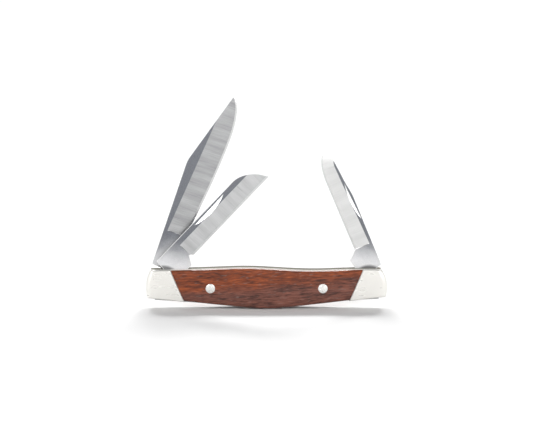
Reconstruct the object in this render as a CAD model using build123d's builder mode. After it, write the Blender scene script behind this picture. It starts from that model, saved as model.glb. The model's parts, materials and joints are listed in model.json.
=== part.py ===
from build123d import *
import os
from math import cos, hypot, radians, sin, tan

os.makedirs("parts", exist_ok=True)

# Three-blade slip-joint pocket knife, standing on its back with the blades half open.
# X runs along the handle towards the spey blade, Z is up and -Y is the face with the nail nicks.
# The origin is at mid-length and mid-thickness, on the lowest point of the back.

# handle outline
handle_length = 81.4
handle_height = 13.2  # lowest point of the back to the left top corner
belly_slope_left = 0.108  # rise of the back per mm towards each end
belly_slope_right = 0.119
belly_round = 0.56  # how softly the two slopes meet under the middle
back_steps = 14  # points along the back
top_corner_in_left = 1.4  # how far each corner lies inside the rounded end
top_corner_in_right = 2.0
bottom_corner_in = 0.5
top_wave = [  # share of the half length, rise above the left top corner
    (-0.97, 0.0), (-0.76, 0.1), (-0.44, 0.5), (-0.145, 0.8),
    (0.1, 0.35), (0.36, -0.1), (0.66, 0.2), (0.96, 0.25),
]

# stack of layers across the thickness
well_width = 1.6
liner_thickness = 0.4
scale_thickness = 2.6
blade_play = 0.05  # gap between a blade and each liner
scale_inset = 0.25  # wood edge below the metal edge
scale_rounding = 0.8
bolster_bevel = 0.4

# bolster and wood meet on a slanted line
bolster_length = 12.8  # along the back
bolster_lean = 23.5  # degrees from upright

# pivots, tangs and springs
pivot_inset = 5.95  # from the end of the handle
pivot_depth = 4.0  # below the left top corner
pivot_radius = 1.2
pivot_clearance = 0.03
tang_half = 2.75  # pivot to each of the three tang flats
spring_gap = 0.04  # between a tang and the spring that it has pushed down
spring_web_rise = 1.15  # the riveted middle of a spring is this much deeper than its arm
web_ramp = 1.8
arm_steps = 6  # points along the bent arm
arm_sweep = 1.5  # how much faster the arm drops past its contact
tip_gap = 0.05  # spring end to the step on the tang
tail_start = 6.2  # inboard of the far pivot
tail_wall = 1.2  # metal round the far pivot pin
tail_drop = 0.4  # tail below the top of the liners

# rivets through the wood
rivet_spacing = 38.0
rivet_height = 7.05
rivet_radius = 0.7
rivet_wall = 0.25  # spring metal round the rivet hole
rivet_head_radius = 1.65
rivet_head_depth = 0.6
rivet_head_crown = 0.18
rivet_head_flat = 0.5  # share of the head that is flat

# blades: how far each one stands open, and where its grind lies
blade_edge_thickness = 0.3
clip_angle = 71.05
clip_closed_angle = 4.9
clip_length_short_of_pivot = 2.0  # the closed tip stops this far before the other pivot
clip_spine = 5.93
clip_corner_radius = 1.4
clip_kick = 10.5
sheepsfoot_angle = 46.3
sheepsfoot_closed_angle = 1.0
sheepsfoot_length = 50.2
sheepsfoot_spine = 6.53
sheepsfoot_corner_radius = 1.7
sheepsfoot_kick = 10.4
nick_depth = 0.35
spey_angle = 67.0
spey_closed_angle = 3.5
spey_length = 46.6
spey_spine = 6.11
spey_corner_radius = 0.8
spey_kick = 8.8

# worked out from the sizes above
half_length = handle_length / 2
pivot_x = half_length - pivot_inset
pivot_height = handle_height - pivot_depth
spring_face = pivot_height - tang_half
spring_web = spring_face + spring_web_rise
rivet_x = rivet_spacing / 2
blade_thickness = well_width - 2 * blade_play
centre_liner_y = well_width / 2 + liner_thickness  # outer faces of the centre liners
outer_well_y = centre_liner_y + well_width
liner_y = outer_well_y + liner_thickness
handle_y = liner_y + scale_thickness
bolster_foot_x = half_length - bolster_length
clip_length = 2 * pivot_x - clip_length_short_of_pivot


def upright(y):
    """Plane across the thickness at y, with X to the right and Z up; it faces -Y."""
    return Plane.XZ.offset(-y)


def back_height(x):
    """Height of the back of the handle at x."""
    slope = belly_slope_left if x < 0 else belly_slope_right
    return hypot(slope * x, belly_round) - belly_round


def top_corner(side, inset=0.0):
    """Top corner of the outline: side is -1 at the left end and 1 at the right end."""
    inside = top_corner_in_left if side < 0 else top_corner_in_right
    rise = top_wave[0][1] if side < 0 else top_wave[-1][1]
    return (side * (half_length - inside), handle_height + rise - inset)


def bottom_corner(side, inset=0.0):
    x = side * (half_length - bottom_corner_in)
    return (x, back_height(x) + inset)


def end_arc(side, inset=0.0):
    """Rounded end of the handle, from the top corner down."""
    top = top_corner(side, inset)
    bottom = bottom_corner(side, inset)
    ThreePointArc(top, (side * half_length, (top[1] + 2 * bottom[1]) / 3), bottom)


def handle_outline(inset=0.0):
    """Closed outline of the frame, or one that is lower at the top and higher at the back."""
    top = [(share * half_length, handle_height + rise - inset) for share, rise in top_wave[1:-1]]
    Spline(top_corner(-1, inset), *top, top_corner(1, inset))
    end_arc(1, inset)
    last = bottom_corner(1)[0]
    back = [last - 2 * last * step / back_steps for step in range(back_steps + 1)]
    Spline(*[(x, back_height(x) + inset) for x in back])
    end_arc(-1, inset)


def joint_line_x(height):
    """Distance from the middle to the joint of wood and bolster at a height."""
    return bolster_foot_x + (height - back_height(bolster_foot_x)) * tan(radians(bolster_lean))


def wood_window():
    """Area between the two slanted joints, taller than the handle."""
    low = -handle_height
    high = 2 * handle_height
    Polyline(
        (-joint_line_x(low), low),
        (joint_line_x(low), low),
        (joint_line_x(high), high),
        (-joint_line_x(high), high),
        close=True,
    )


def bolster_window(side):
    """Area outside one slanted joint."""
    low = -handle_height
    high = 2 * handle_height
    Polyline(
        (side * joint_line_x(low), low),
        (side * (handle_length + joint_line_x(high)), low),
        (side * (handle_length + joint_line_x(high)), high),
        (side * joint_line_x(high), high),
        close=True,
    )


# liners: the outer two carry the scales, the centre two part the wells
def liner(y_far):
    """One sheet with the frame's outline, its holes filled by the pins and rivets."""
    with BuildPart() as sheet:
        with BuildSketch(upright(y_far)):
            with BuildLine():
                handle_outline()
            make_face()
            with Locations((-pivot_x, pivot_height), (pivot_x, pivot_height)):
                Circle(pivot_radius, mode=Mode.SUBTRACT)
            with Locations((-rivet_x, rivet_height), (rivet_x, rivet_height)):
                Circle(rivet_radius, mode=Mode.SUBTRACT)
        extrude(amount=liner_thickness)
    return sheet.part


liner_places = {
    "front_liner": -outer_well_y,
    "front_centre_liner": -well_width / 2,
    "rear_centre_liner": centre_liner_y,
    "rear_liner": liner_y,
}
for liner_name, y_far in liner_places.items():
    liner_part = liner(y_far)
    liner_part.label = liner_name
    export_step(liner_part, f"parts/{liner_name}.step")


# wood scales, rounded along the top and the back, with a recess for each rivet head
def scale(facing):
    """One scale: facing is -1 for the front and 1 for the rear."""
    y_far = max(facing * liner_y, facing * handle_y)
    outer_y = facing * handle_y
    with BuildPart() as wood:
        with BuildSketch(upright(y_far)):
            with BuildLine():
                handle_outline(scale_inset)
            make_face()
            with BuildLine():
                wood_window()
            make_face(mode=Mode.INTERSECT)
        extrude(amount=scale_thickness)
        outer_face = wood.faces().filter_by(Axis.Y).sort_by(lambda face: abs(face.center().Y - outer_y))[0]
        joint_ends = outer_face.edges().sort_by(Axis.X)
        fillet([edge for edge in joint_ends if edge not in (joint_ends[0], joint_ends[-1])], scale_rounding)
        with BuildSketch(upright(outer_y)):
            with Locations((-rivet_x, rivet_height), (rivet_x, rivet_height)):
                Circle(rivet_head_radius)
        extrude(amount=facing * rivet_head_depth, mode=Mode.SUBTRACT)
        with BuildSketch(upright(y_far)):
            with Locations((-rivet_x, rivet_height), (rivet_x, rivet_height)):
                Circle(rivet_radius)
        extrude(amount=scale_thickness, mode=Mode.SUBTRACT)
    return wood.part


for scale_name, facing in {"front_scale": -1, "rear_scale": 1}.items():
    scale_part = scale(facing)
    scale_part.label = scale_name
    export_step(scale_part, f"parts/{scale_name}.step")


# bolsters, bevelled round the outer face, with the pivot pin flush in each
def bolster(side, facing):
    """One bolster: side is -1 left or 1 right, facing is -1 front or 1 rear."""
    y_far = max(facing * liner_y, facing * handle_y)
    outer_y = facing * handle_y
    with BuildPart() as cap:
        with BuildSketch(upright(y_far)):
            with BuildLine():
                handle_outline()
            make_face()
            with BuildLine():
                bolster_window(side)
            make_face(mode=Mode.INTERSECT)
        extrude(amount=scale_thickness)
        outer_face = cap.faces().filter_by(Axis.Y).sort_by(lambda face: abs(face.center().Y - outer_y))[0]
        chamfer(outer_face.edges(), bolster_bevel)
        with BuildSketch(upright(y_far)):
            with Locations((side * pivot_x, pivot_height)):
                Circle(pivot_radius)
        extrude(amount=scale_thickness, mode=Mode.SUBTRACT)
    return cap.part


for bolster_name, (side, facing) in {
    "front_left_bolster": (-1, -1),
    "front_right_bolster": (1, -1),
    "rear_left_bolster": (-1, 1),
    "rear_right_bolster": (1, 1),
}.items():
    bolster_part = bolster(side, facing)
    bolster_part.label = bolster_name
    export_step(bolster_part, f"parts/{bolster_name}.step")


# pivot pins, one through each end, flush with the bolsters
def pivot_pin(side):
    with BuildPart() as pin:
        with BuildSketch(upright(handle_y)):
            with Locations((side * pivot_x, pivot_height)):
                Circle(pivot_radius)
        extrude(amount=2 * handle_y)
    return pin.part


for pin_name, side in {"left_pivot_pin": -1, "right_pivot_pin": 1}.items():
    pin_part = pivot_pin(side)
    pin_part.label = pin_name
    export_step(pin_part, f"parts/{pin_name}.step")


# rivets: a shank through scales, liners and springs, with a low domed head at each end
def rivet(side):
    seat_y = handle_y - rivet_head_depth
    crown_y = handle_y + rivet_head_crown
    flat_radius = rivet_head_radius * rivet_head_flat
    with BuildPart() as stud:
        with BuildSketch(Plane.XY.offset(rivet_height)):
            with BuildLine():
                Polyline(
                    (flat_radius, crown_y),
                    (0, crown_y),
                    (0, 0),
                    (rivet_radius, 0),
                    (rivet_radius, seat_y),
                    (rivet_head_radius, seat_y),
                    (rivet_head_radius, handle_y),
                )
                RadiusArc((rivet_head_radius, handle_y), (flat_radius, crown_y), -rivet_head_radius)
            make_face()
            mirror(about=Plane.XZ)
        revolve(axis=Axis((0, 0, rivet_height), (0, 1, 0)))
    return stud.part.moved(Location((side * rivet_x, 0, 0)))


for rivet_name, side in {"left_rivet": -1, "right_rivet": 1}.items():
    rivet_part = rivet(side)
    rivet_part.label = rivet_name
    export_step(rivet_part, f"parts/{rivet_name}.step")


# blades are drawn from their pivot: x runs along the spine to the tip, y towards the spine
def blade_plane(side, angle, well_y):
    """Drawing plane of a blade in the well centred on well_y, turned up by angle."""
    turn = radians(angle)
    return Plane(
        origin=(side * pivot_x, well_y - side * blade_thickness / 2, pivot_height),
        x_dir=(-side * cos(turn), 0, sin(turn)),
        z_dir=(0, side, 0),
    )


def closed_flat(x, closed_angle):
    """Height of the tang flat that rests on the spring when the blade is shut."""
    turn = radians(closed_angle)
    return -(tang_half + x * sin(turn)) / cos(turn)


def tang_corners(closed_angle):
    """The two corners at the back of the tang: open side and closed side."""
    return (-tang_half, tang_half), (-tang_half, closed_flat(-tang_half, closed_angle))


def grind(plane, start, end, depth):
    """Cut both faces from the grind line down to the edge, leaving the edge thickness at depth."""
    line = Vector(end[0] - start[0], end[1] - start[1])
    along = line.normalized()
    reach = 2 * depth
    half_edge = blade_edge_thickness / 2
    slope = (blade_thickness / 2 - half_edge) / depth
    middle = blade_thickness / 2
    origin = plane.from_local_coords(Vector(start[0], start[1], 0))
    run = plane.from_local_coords(Vector(start[0] + along.X, start[1] + along.Y, 0)) - origin
    down = plane.from_local_coords(Vector(start[0] + along.Y, start[1] - along.X, 0)) - origin
    across = Plane(origin=origin, x_dir=down, z_dir=run)
    sign = 1 if across.y_dir.dot(plane.z_dir) > 0 else -1
    for face in (0, 1):
        skin = blade_thickness if face else 0
        inner = middle + (1 if face else -1) * (middle - slope * reach)
        with BuildSketch(across) as wedge:
            with BuildLine():
                Polyline((0, sign * skin), (reach, sign * skin), (reach, sign * inner), close=True)
            make_face()
        extrude(wedge.sketch, amount=line.length + reach, mode=Mode.SUBTRACT)


def nail_nick(plane, start, end, height, depth, face):
    """Long crescent pull cut into one face: 0 is the face on the drawing plane, 1 the other."""
    surface = plane.offset(blade_thickness if face else 0)
    middle = ((start[0] + end[0]) / 2, (start[1] + end[1]) / 2 - height)
    with BuildSketch(surface) as crescent:
        with BuildLine():
            Line(start, end)
            ThreePointArc(end, middle, start)
        make_face()
    extrude(crescent.sketch, amount=-depth if face else depth, mode=Mode.SUBTRACT)


# clip blade: the long one in the rear left well
clip_step = 3.9
clip_step_slant = 0.25
clip_step_foot = clip_step - clip_step_slant
clip_plunge = 16.4
clip_heel = (clip_plunge - 0.2, -2.1)
clip_belly = [
    (clip_length - 33.3, -4.3),
    (clip_length - 22.9, -5.2),
    (clip_length - 16.8, -5.55),
    (clip_length - 11.7, -5.6),
    (clip_length - 7.2, -5.15),
    (clip_length - 2.9, -4.05),
    (clip_length, -2.19),
]
clip_point = [(clip_length - 25.5, 5.65), (clip_length - 26.6, 5.83), (clip_length - 27.8, clip_spine - 0.02)]
clip_frame = blade_plane(-1, clip_angle, outer_well_y - well_width / 2)
with BuildPart() as clip_blade:
    with BuildSketch(clip_frame):
        open_corner, closed_corner = tang_corners(clip_closed_angle)
        with BuildLine():
            Polyline(
                (clip_step_foot, tang_half),
                open_corner,
                closed_corner,
                (clip_kick, closed_flat(clip_kick, clip_closed_angle)),
                clip_heel,
                clip_belly[0],
            )
            Spline(*clip_belly)
            Line(clip_belly[-1], clip_point[0])
            Spline(*clip_point)
            Polyline(clip_point[-1], (clip_step, clip_spine), (clip_step_foot, tang_half))
        make_face()
        fillet(vertices().sort_by(Axis.X)[0:2], clip_corner_radius)
        Circle(pivot_radius + pivot_clearance, mode=Mode.SUBTRACT)
    extrude(amount=blade_thickness)
    grind(clip_frame, (clip_plunge, 4.55), (clip_length - 9.7, 0.79), 7.3)
    nail_nick(clip_frame, (clip_length - 42.7, 5.0), (clip_length - 28.7, 4.1), 1.2, nick_depth, 0)
clip_blade.part.label = "clip_blade"
export_step(clip_blade.part, "parts/clip_blade.step")


# sheepsfoot blade: the straight-edged one in the front left well
sheepsfoot_step = 3.2
sheepsfoot_step_foot = sheepsfoot_step - 0.35
sheepsfoot_plunge = 12.6
sheepsfoot_edge = -1.05
sheepsfoot_choil = (sheepsfoot_plunge - 0.25, 0.0)  # notch between the kick and the edge
sheepsfoot_heel = (sheepsfoot_plunge + 0.9, sheepsfoot_edge)
sheepsfoot_curve = [
    (sheepsfoot_length - 11.5, sheepsfoot_spine),
    (sheepsfoot_length - 8.2, 6.4),
    (sheepsfoot_length - 4.5, 4.7),
    (sheepsfoot_length - 2.3, 2.7),
    (sheepsfoot_length, sheepsfoot_edge + 0.25),
]
sheepsfoot_frame = blade_plane(-1, sheepsfoot_angle, -(outer_well_y - well_width / 2))
with BuildPart() as sheepsfoot_blade:
    with BuildSketch(sheepsfoot_frame):
        open_corner, closed_corner = tang_corners(sheepsfoot_closed_angle)
        with BuildLine():
            Polyline(
                (sheepsfoot_step_foot, tang_half),
                open_corner,
                closed_corner,
                (sheepsfoot_kick, closed_flat(sheepsfoot_kick, sheepsfoot_closed_angle)),
                sheepsfoot_choil,
                sheepsfoot_heel,
                (sheepsfoot_length - 0.3, sheepsfoot_edge),
                sheepsfoot_curve[-1],
            )
            Spline(*sheepsfoot_curve, tangents=[(1, 0), (1, -1.5)])
            Polyline(
                sheepsfoot_curve[0],
                (sheepsfoot_step, sheepsfoot_spine),
                (sheepsfoot_step_foot, tang_half),
            )
        make_face()
        fillet(vertices().sort_by(Axis.X)[0:2], sheepsfoot_corner_radius)
        Circle(pivot_radius + pivot_clearance, mode=Mode.SUBTRACT)
    extrude(amount=blade_thickness)
    grind(sheepsfoot_frame, (sheepsfoot_plunge, 4.6), (sheepsfoot_length, 4.6), 5.6)
    nail_nick(sheepsfoot_frame, (20.9, 5.9), (35.4, 6.2), 1.5, nick_depth, 1)
sheepsfoot_blade.part.label = "sheepsfoot_blade"
export_step(sheepsfoot_blade.part, "parts/sheepsfoot_blade.step")


# spey blade: the blunt-tipped one in the middle well, at the right end
spey_step = 3.4
spey_step_foot = spey_step - 0.65
spey_plunge = 11.6
spey_relief = 5.5  # the tang is cut back here, between its flat and its kick
spey_relief_run = 2.0
spey_relief_depth = 0.5
spey_heel = (spey_plunge - 0.2, -0.35)
spey_edge = [
    (spey_length - 10.6, -0.4),
    (spey_length - 7.4, -0.2),
    (spey_length - 4.7, 0.25),
    (spey_length - 2.2, 1.25),
    (spey_length, 2.9),
]
spey_back = [
    (spey_length, 2.9),
    (spey_length - 1.8, 4.25),
    (spey_length - 3.9, 4.95),
    (spey_length - 8.6, 5.35),
    (spey_length - 13.1, 5.75),
    (spey_length - 15.9, 6.15),
    (spey_length - 18.4, 6.35),
]
spey_frame = blade_plane(1, spey_angle, 0)
with BuildPart() as spey_blade:
    with BuildSketch(spey_frame):
        open_corner, closed_corner = tang_corners(spey_closed_angle)
        with BuildLine():
            Polyline(
                (spey_step_foot, tang_half),
                open_corner,
                closed_corner,
                (spey_relief - spey_relief_run, closed_flat(spey_relief - spey_relief_run, spey_closed_angle)),
                (spey_relief, closed_flat(spey_relief, spey_closed_angle) + spey_relief_depth),
                (spey_kick, closed_flat(spey_kick, spey_closed_angle)),
                spey_heel,
                spey_edge[0],
            )
            Spline(*spey_edge)
            Spline(*spey_back)
            Polyline(spey_back[-1], (spey_step, spey_spine), (spey_step_foot, tang_half))
        make_face()
        fillet(vertices().sort_by(Axis.X)[0:2], spey_corner_radius)
        Circle(pivot_radius + pivot_clearance, mode=Mode.SUBTRACT)
    extrude(amount=blade_thickness)
    grind(spey_frame, (spey_plunge, 5.1), (spey_length - 6.3, 4.2), 5.0)
    nail_nick(spey_frame, (20.4, 5.85), (33.7, 5.3), 1.0, nick_depth, 0)
spey_blade.part.label = "spey_blade"
export_step(spey_blade.part, "parts/spey_blade.step")


# back springs: riveted in the middle, each arm pushed down by the corner of its half-open tang
def tang_corner_low(angle, closed_angle, radius):
    """Where the lowest point of the tang corner lies: outboard of the pivot, and height."""
    turn = radians(angle)
    shut = radians(closed_angle)
    across = -(tang_half - radius)
    down = -(tang_half - radius) * (1 - sin(shut)) / cos(shut)
    outward = -(across * cos(turn) - down * sin(turn))
    return outward, pivot_height + across * sin(turn) + down * cos(turn) - radius


def spring(side, well_y, angle, closed_angle, radius, step_low, step_high):
    """One spring, seen with its working end at side (-1 left, 1 right)."""
    outward, low = tang_corner_low(angle, closed_angle, radius)
    contact = pivot_x + outward - rivet_x
    drop = spring_face - low + spring_gap

    def bend(reach):
        """How far the arm is pushed down at a distance outboard of its rivet."""
        if reach <= 0:
            return 0.0
        if reach >= contact:
            return drop * (1 + arm_sweep * (reach - contact) / contact)
        return drop * (3 * contact * reach**2 - reach**3) / (2 * contact**3)

    def place(out, height):
        """Point at a distance towards the working end, moved with the bent arm."""
        return (side * out, height - bend(out - rivet_x))

    tip_low = pivot_x + step_low - tip_gap
    tip_high = pivot_x + step_high - tip_gap
    arm_start = rivet_x + rivet_radius + 2 * rivet_wall + web_ramp
    arm = [arm_start + (tip_low - arm_start) * i / arm_steps for i in range(arm_steps + 1)]
    tail_end = half_length - bottom_corner_in
    back = [tip_high - (tip_high + tail_end) * step / back_steps for step in range(back_steps + 1)]
    tail = pivot_x - tail_start
    tail_top = top_corner(-side)[1] - tail_drop
    with BuildPart() as strip:
        with BuildSketch(upright(well_y + well_width / 2)):
            with BuildLine():
                Spline(*[place(out, back_height(side * out)) for out in back])
                Polyline(
                    bottom_corner(-side),
                    (-side * handle_length / 2 - side * bottom_corner_in, bottom_corner(-side)[1]),
                    (-side * handle_length / 2 - side * bottom_corner_in, tail_top),
                    (-side * pivot_x, tail_top),
                    (-side * (pivot_x - pivot_radius - tail_wall / 2), tail_top - tail_wall),
                    (-side * tail, spring_web),
                    (side * (arm_start - web_ramp), spring_web),
                    place(arm[0], spring_face),
                )
                Spline(*[place(out, spring_face) for out in arm])
                Line(place(arm[-1], spring_face), place(back[0], back_height(side * back[0])))
            make_face()
            with Locations((-rivet_x, rivet_height), (rivet_x, rivet_height)):
                Circle(rivet_radius + rivet_wall)
                Circle(rivet_radius, mode=Mode.SUBTRACT)
            with Locations((-side * pivot_x, pivot_height)):
                Circle(pivot_radius, mode=Mode.SUBTRACT)
        extrude(amount=well_width)
        # trim the tail to the rounded end of the handle
        with BuildSketch(upright(well_y + well_width / 2)):
            with BuildLine():
                Polyline(
                    top_corner(-side),
                    (-side * handle_length, top_corner(-side)[1]),
                    (-side * handle_length, bottom_corner(-side)[1]),
                    bottom_corner(-side),
                )
                end_arc(-side)
            make_face()
        extrude(amount=well_width, mode=Mode.SUBTRACT)
    return strip.part


spring_data = {
    "clip_spring": (
        -1, outer_well_y - well_width / 2, clip_angle, clip_closed_angle, clip_corner_radius,
        clip_step_foot, clip_step,
    ),
    "sheepsfoot_spring": (
        -1, -(outer_well_y - well_width / 2), sheepsfoot_angle, sheepsfoot_closed_angle,
        sheepsfoot_corner_radius, sheepsfoot_step_foot, sheepsfoot_step,
    ),
    "spey_spring": (
        1, 0, spey_angle, spey_closed_angle, spey_corner_radius,
        spey_step_foot, spey_step,
    ),
}
for spring_name, sizes in spring_data.items():
    spring_part = spring(*sizes)
    spring_part.label = spring_name
    export_step(spring_part, f"parts/{spring_name}.step")
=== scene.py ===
import json
import math

import bmesh
import bpy
import numpy as np
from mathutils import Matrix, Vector
from mathutils.geometry import delaunay_2d_cdt


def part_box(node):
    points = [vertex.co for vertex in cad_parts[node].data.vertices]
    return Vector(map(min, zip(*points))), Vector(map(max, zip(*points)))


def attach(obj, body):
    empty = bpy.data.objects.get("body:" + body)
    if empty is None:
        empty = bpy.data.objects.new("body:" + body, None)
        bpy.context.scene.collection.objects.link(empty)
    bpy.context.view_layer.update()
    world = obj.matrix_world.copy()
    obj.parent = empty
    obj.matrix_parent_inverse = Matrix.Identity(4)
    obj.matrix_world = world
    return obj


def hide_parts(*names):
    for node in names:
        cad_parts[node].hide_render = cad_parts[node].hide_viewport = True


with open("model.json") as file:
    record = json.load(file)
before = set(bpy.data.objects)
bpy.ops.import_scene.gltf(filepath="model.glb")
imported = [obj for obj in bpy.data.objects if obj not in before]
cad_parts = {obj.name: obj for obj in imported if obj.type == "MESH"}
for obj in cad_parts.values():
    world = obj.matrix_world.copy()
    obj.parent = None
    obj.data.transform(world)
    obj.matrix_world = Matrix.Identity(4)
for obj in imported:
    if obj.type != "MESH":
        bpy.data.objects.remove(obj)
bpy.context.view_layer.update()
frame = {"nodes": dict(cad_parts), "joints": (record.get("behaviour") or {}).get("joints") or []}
mm = 0.001
print("stage: frame loaded,", len(frame["nodes"]), "nodes")

joints = {joint["name"]: joint for joint in frame["joints"]}


# outlines are loops of (x, z) points in mm, counter-clockwise
cornerTurn = 14  # degrees: a bend sharper than this stays a corner
steepSide = 0.75  # a side that rises more than this share of its length is an end or a joint
sliver = 1e-5  # square mm: a smaller triangle is dropped


def area(loop):
    x, z = loop[:, 0], loop[:, 1]
    return 0.5 * float(np.sum(x * np.roll(z, -1) - np.roll(x, -1) * z))


def resample(loop, spacing):  # even steps along the loop; its corners stay
    points = [loop[0]]
    count = len(loop)
    for i in range(1, count + 1):
        here, before, after = loop[i % count], loop[i - 1], loop[(i + 1) % count]
        step, nextStep = here - before, after - here
        sideways = step[0] * nextStep[1] - step[1] * nextStep[0]
        turn = abs(math.degrees(math.atan2(sideways, step @ nextStep)))
        reach = np.linalg.norm(here - points[-1])
        if reach > spacing * 1.5:
            cuts = int(math.ceil(reach / spacing))
            points += [points[-1] + (here - points[-1]) * k / cuts for k in range(1, cuts)]
            points.append(here)
        elif turn > cornerTurn or reach > spacing * 0.6:
            points.append(here)
    if np.linalg.norm(points[-1] - points[0]) < spacing * 0.3:
        points.pop()
    return np.array(points)


def insetLoop(loop, widths):  # moves each side of a counter-clockwise loop inwards by its own width
    sides = np.roll(loop, -1, axis=0) - loop
    sides /= np.linalg.norm(sides, axis=1)[:, None]
    normals = np.stack([-sides[:, 1], sides[:, 0]], axis=1)
    moved = []
    for i in range(len(loop)):
        na, nb, da, db = normals[i - 1], normals[i], widths[i - 1], widths[i]
        det = na[0] * nb[1] - na[1] * nb[0]
        if abs(det) < 0.12:
            shift = (na + nb) / max(1.0, np.linalg.norm(na + nb)) * (da + db) / 2
        else:
            shift = np.array([da * nb[1] - db * na[1], na[0] * db - nb[0] * da]) / det
        moved.append(loop[i] + shift)
    return np.array(moved)


# insetLoop, then each run between corners is spaced out again so that none folds over
def insetRing(loop, widths):
    moved, count = insetLoop(loop, widths), len(loop)
    sides = np.roll(loop, -1, axis=0) - loop
    before = np.roll(sides, 1, axis=0)
    sideways = before[:, 0] * sides[:, 1] - before[:, 1] * sides[:, 0]
    turns = np.degrees(np.arctan2(sideways, (before * sides).sum(axis=1)))
    corners = [i for i in range(count) if abs(turns[i]) > cornerTurn]
    ring = moved.copy()
    for a, b in zip(corners, corners[1:] + [corners[0] + count]):
        run = [i % count for i in range(a, b + 1)]
        if len(run) < 3:
            continue
        line, first, last = moved[run], loop[run[1]] - loop[run[0]], loop[run[-1]] - loop[run[-2]]
        good = [k for k in range(1, len(run) - 1)
                if (line[k] - line[0]) @ first > 0 and (line[-1] - line[k]) @ last > 0]
        path = line[[0] + good + [len(run) - 1]]
        along = np.concatenate([[0], np.cumsum(np.linalg.norm(np.diff(loop[run], axis=0), axis=1))])
        reach = np.concatenate([[0], np.cumsum(np.linalg.norm(np.diff(path, axis=0), axis=1))])
        wanted = along / along[-1] * reach[-1]
        ring[run] = np.stack([np.interp(wanted, reach, path[:, c]) for c in (0, 1)], axis=1)
    return ring


def insideLoop(points, loop):  # even-odd test for many points
    x, y = points[:, 0][:, None], points[:, 1][:, None]
    ax, ay = loop[:, 0], loop[:, 1]
    bx, by = np.roll(ax, -1), np.roll(ay, -1)
    rise = np.where(by == ay, 1e-9, by - ay)
    crosses = ((ay > y) != (by > y)) & (x < (bx - ax) * (y - ay) / rise + ax)
    return crosses.sum(axis=1) % 2 == 1


def distanceTo(points, line):  # distance from many points to an open line of points
    a, b = line[:-1], line[1:]
    d = b - a
    t = ((points[:, None, :] - a) * d).sum(axis=2) / np.maximum((d * d).sum(axis=1), 1e-12)
    t = np.clip(t, 0, 1)
    near = a + t[:, :, None] * d
    return np.linalg.norm(points[:, None, :] - near, axis=2).min(axis=1)


def triangulate(points, edges, outline, holes):  # triangles inside the outline and outside the holes
    found = delaunay_2d_cdt([Vector(p) for p in points], edges, [], 0, 1e-6)
    verts = np.array([tuple(v) for v in found[0]])
    faces = [f for f in found[2] if len(f) == 3]
    centres = np.array([verts[list(f)].mean(axis=0) for f in faces])
    keep = insideLoop(centres, outline) & np.array([abs(area(verts[list(f)])) > sliver for f in faces])
    for hole in holes:
        keep &= ~insideLoop(centres, hole)
    return verts, [f for f, k in zip(faces, keep) if k]


def finishMesh(name, verts, faces, materials, faceMaterial=None):
    mesh = bpy.data.meshes.new(name)
    mesh.from_pydata([tuple(v) for v in verts], [], faces)
    for material in materials:
        mesh.materials.append(material)
    if faceMaterial is not None:
        mesh.polygons.foreach_set("material_index", faceMaterial)
    mesh.polygons.foreach_set("use_smooth", [True] * len(mesh.polygons))
    mesh.set_sharp_from_angle(angle=math.radians(30))
    mesh.validate()
    mesh.update()
    piece = bpy.data.objects.new(name, mesh)
    bpy.context.scene.collection.objects.link(piece)
    return piece


def cleanShell(piece):  # merges doubles and turns every face outwards
    shell = bmesh.new()
    shell.from_mesh(piece.data)
    bmesh.ops.remove_doubles(shell, verts=shell.verts, dist=1e-7)
    bmesh.ops.recalc_face_normals(shell, faces=shell.faces)
    shell.to_mesh(piece.data)
    shell.free()


# materials: every pattern reads Object coordinates, or the blade's own
def newMaterial(name):
    material = bpy.data.materials.new(name)
    material.use_nodes = True
    nodes = material.node_tree.nodes
    return material, nodes, material.node_tree.links, nodes["Principled BSDF"]


def objectCoords(nodes, links, scale=(1, 1, 1), turn=(0, 0, 0), shift=(0, 0, 0), attribute=None):
    if attribute:
        source = nodes.new("ShaderNodeAttribute")
        source.attribute_name = attribute
        output = source.outputs["Vector"]
    else:
        output = nodes.new("ShaderNodeTexCoord").outputs["Object"]
    mapping = nodes.new("ShaderNodeMapping")
    mapping.inputs["Scale"].default_value = scale
    mapping.inputs["Rotation"].default_value = turn
    mapping.inputs["Location"].default_value = shift
    links.new(output, mapping.inputs["Vector"])
    return mapping.outputs["Vector"]


def noise(nodes, links, vector, scale, detail=3.0, roughness=0.55, distortion=0.0):
    texture = nodes.new("ShaderNodeTexNoise")
    texture.inputs["Scale"].default_value = scale
    texture.inputs["Detail"].default_value = detail
    texture.inputs["Roughness"].default_value = roughness
    texture.inputs["Distortion"].default_value = distortion
    links.new(vector, texture.inputs["Vector"])
    return texture.outputs["Fac"]


def ramp(nodes, links, value, stops):  # stops: (place, colour or grey)
    node = nodes.new("ShaderNodeValToRGB")
    band = node.color_ramp
    while len(band.elements) < len(stops):
        band.elements.new(0.5)
    for element, (place, colour) in zip(band.elements, stops):
        element.position = place
        element.color = (*colour, 1) if isinstance(colour, tuple) else (colour, colour, colour, 1)
    links.new(value, node.inputs["Fac"])
    return node.outputs["Color"]


def mixColour(nodes, links, factor, a, b, blend="MIX"):
    node = nodes.new("ShaderNodeMix")
    node.data_type = "RGBA"
    node.blend_type = blend
    sockets = [s for s in node.inputs if s.enabled]
    for value, socket in zip((factor, a, b), sockets):
        if isinstance(value, (int, float)):
            socket.default_value = value
        elif isinstance(value, tuple):
            socket.default_value = (*value, 1)
        else:
            links.new(value, socket)
    return [s for s in node.outputs if s.enabled][0]


def math2(nodes, links, operation, a, b=0.0):
    node = nodes.new("ShaderNodeMath")
    node.operation = operation
    for value, socket in zip((a, b), node.inputs):
        if isinstance(value, (int, float)):
            socket.default_value = value
        else:
            links.new(value, socket)
    return node.outputs[0]


def bump(nodes, links, height, strength, distance, shader):
    node = nodes.new("ShaderNodeBump")
    node.inputs["Strength"].default_value = strength
    node.inputs["Distance"].default_value = distance
    links.new(height, node.inputs["Height"])
    links.new(node.outputs["Normal"], shader.inputs["Normal"])


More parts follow.
